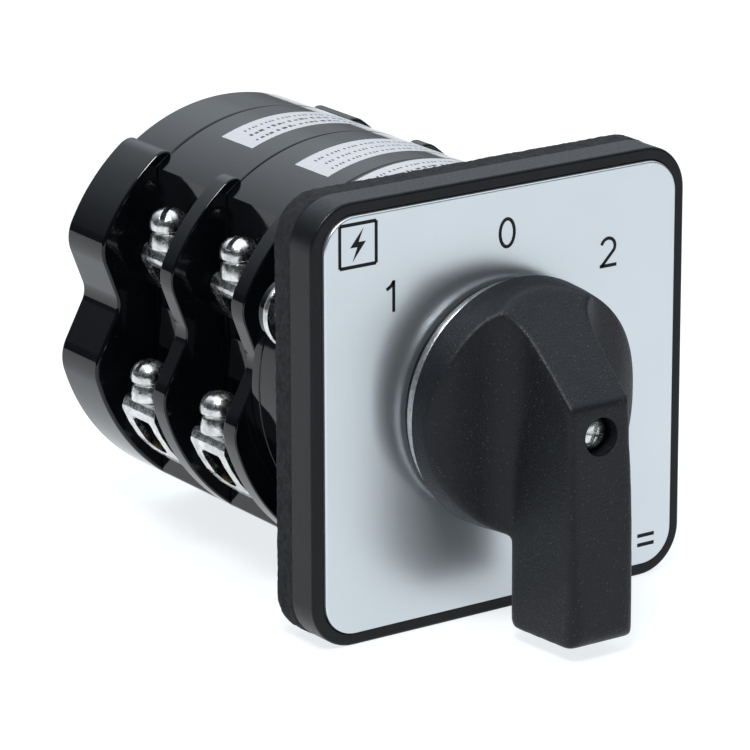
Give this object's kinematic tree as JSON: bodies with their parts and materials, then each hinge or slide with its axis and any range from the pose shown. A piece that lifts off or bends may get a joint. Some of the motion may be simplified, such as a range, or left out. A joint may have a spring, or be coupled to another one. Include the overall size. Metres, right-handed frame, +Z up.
{
  "type": "rotary changeover switch",
  "caption": "Panel-mounted rotary cam changeover switch with a square dial plate, lever knob, open screw terminals and stacked contact stages.",
  "frame": {"origin": "on the shaft's axis, in the plane of the gasket's back face, which lies on the front of the panel", "axes": "+Y back along the shaft into the panel, so the knob faces -Y; +Z up towards position 0; +X to the right seen from the front"},
  "size_m": [0.064, 0.0955, 0.064],
  "materials": {
    "knob": "fine matt moulded texture",
    "bezel": "satin moulded texture",
    "gasket": "rough closed-cell rubber",
    "plate": "satin silver lacquer",
    "collar": "bright, finely textured",
    "housing": "glossy moulded phenolic",
    "cam": "natural moulded",
    "plunger": "moulded",
    "steel": "zinc plated",
    "nickel": "bright nickel plated",
    "brass": "rolled strip",
    "spring": "spring wire"
  },
  "bodies": {
    "switch_body": {"dial_collar": "collar", "nameplate": "plate", "bezel": "bezel", "panel_gasket": "gasket", "latch_housing": "housing", "latch_cover": "housing", "latch_spring_left": "spring", "latch_spring_right": "spring", "fixing_screw_upper": "nickel", "fixing_screw_lower": "nickel", "stage_a_housing": "housing", "stage_a_return_spring_left": "spring", "stage_a_contact_left_upper": "brass", "stage_a_clamp_left_upper": "nickel", "stage_a_screw_left_upper": "nickel", "stage_a_contact_left_lower": "brass", "stage_a_clamp_left_lower": "nickel", "stage_a_screw_left_lower": "nickel", "stage_a_return_spring_right": "spring", "stage_a_contact_right_upper": "brass", "stage_a_clamp_right_upper": "nickel", "stage_a_screw_right_upper": "nickel", "stage_a_contact_right_lower": "brass", "stage_a_clamp_right_lower": "nickel", "stage_a_screw_right_lower": "nickel", "stage_b_housing": "housing", "stage_b_return_spring_left": "spring", "stage_b_contact_left_upper": "brass", "stage_b_clamp_left_upper": "nickel", "stage_b_screw_left_upper": "nickel", "stage_b_contact_left_lower": "brass", "stage_b_clamp_left_lower": "nickel", "stage_b_screw_left_lower": "nickel", "stage_b_return_spring_right": "spring", "stage_b_contact_right_upper": "brass", "stage_b_clamp_right_upper": "nickel", "stage_b_screw_right_upper": "nickel", "stage_b_contact_right_lower": "brass", "stage_b_clamp_right_lower": "nickel", "stage_b_screw_right_lower": "nickel", "rear_cover": "housing", "tie_bolt_upper": "steel", "tie_bolt_lower": "steel"},
    "rotor": {"knob": "knob", "knob_screw": "steel", "shaft": "steel", "latch_wheel": "cam", "stage_a_cam": "cam", "stage_b_cam": "cam"},
    "contact_carrier_a_left": {"stage_a_plunger_left": "plunger", "stage_a_bridge_left": "brass"},
    "contact_carrier_a_right": {"stage_a_plunger_right": "plunger", "stage_a_bridge_right": "brass"},
    "contact_carrier_b_left": {"stage_b_plunger_left": "plunger", "stage_b_bridge_left": "brass"},
    "contact_carrier_b_right": {"stage_b_plunger_right": "plunger", "stage_b_bridge_right": "brass"},
    "latch_left": {"latch_slider_left": "plunger"},
    "latch_right": {"latch_slider_right": "plunger"}
  },
  "joints": [
    {"name": "knob_turn", "type": "hinge", "parent": "switch_body", "child": "rotor", "pos_m": [0, 0, 0], "axis": [0, 1, 0], "range_deg": [-45, 45]},
    {"name": "carrier_slide_a_left", "type": "slide", "parent": "switch_body", "child": "contact_carrier_a_left", "axis": [1, 0, 0], "range_m": [-0.00161, 0.00161], "deforming": ["stage_a_return_spring_left"]},
    {"name": "carrier_slide_a_right", "type": "slide", "parent": "switch_body", "child": "contact_carrier_a_right", "axis": [1, 0, 0], "range_m": [-0.00161, 0.00161], "deforming": ["stage_a_return_spring_right"]},
    {"name": "carrier_slide_b_left", "type": "slide", "parent": "switch_body", "child": "contact_carrier_b_left", "axis": [1, 0, 0], "range_m": [-0.00161, 0.00161], "deforming": ["stage_b_return_spring_left"]},
    {"name": "carrier_slide_b_right", "type": "slide", "parent": "switch_body", "child": "contact_carrier_b_right", "axis": [1, 0, 0], "range_m": [-0.00161, 0.00161], "deforming": ["stage_b_return_spring_right"]},
    {"name": "latch_slide_left", "type": "slide", "parent": "switch_body", "child": "latch_left", "axis": [1, 0, 0], "range_m": [0, 0.0013], "stiffness_N_per_m": 200, "springref_m": 0.006, "deforming": ["latch_spring_left"]},
    {"name": "latch_slide_right", "type": "slide", "parent": "switch_body", "child": "latch_right", "axis": [-1, 0, 0], "range_m": [0, 0.0013], "stiffness_N_per_m": 200, "springref_m": 0.006, "deforming": ["latch_spring_right"]}
  ],
  "couplings": [
    {"joint": "carrier_slide_a_left", "follows": "knob_turn", "m_per_rad": -0.0020372},
    {"joint": "carrier_slide_a_right", "follows": "knob_turn", "m_per_rad": -0.0020372},
    {"joint": "carrier_slide_b_left", "follows": "knob_turn", "m_per_rad": -0.0020372},
    {"joint": "carrier_slide_b_right", "follows": "knob_turn", "m_per_rad": -0.0020372}
  ]
}
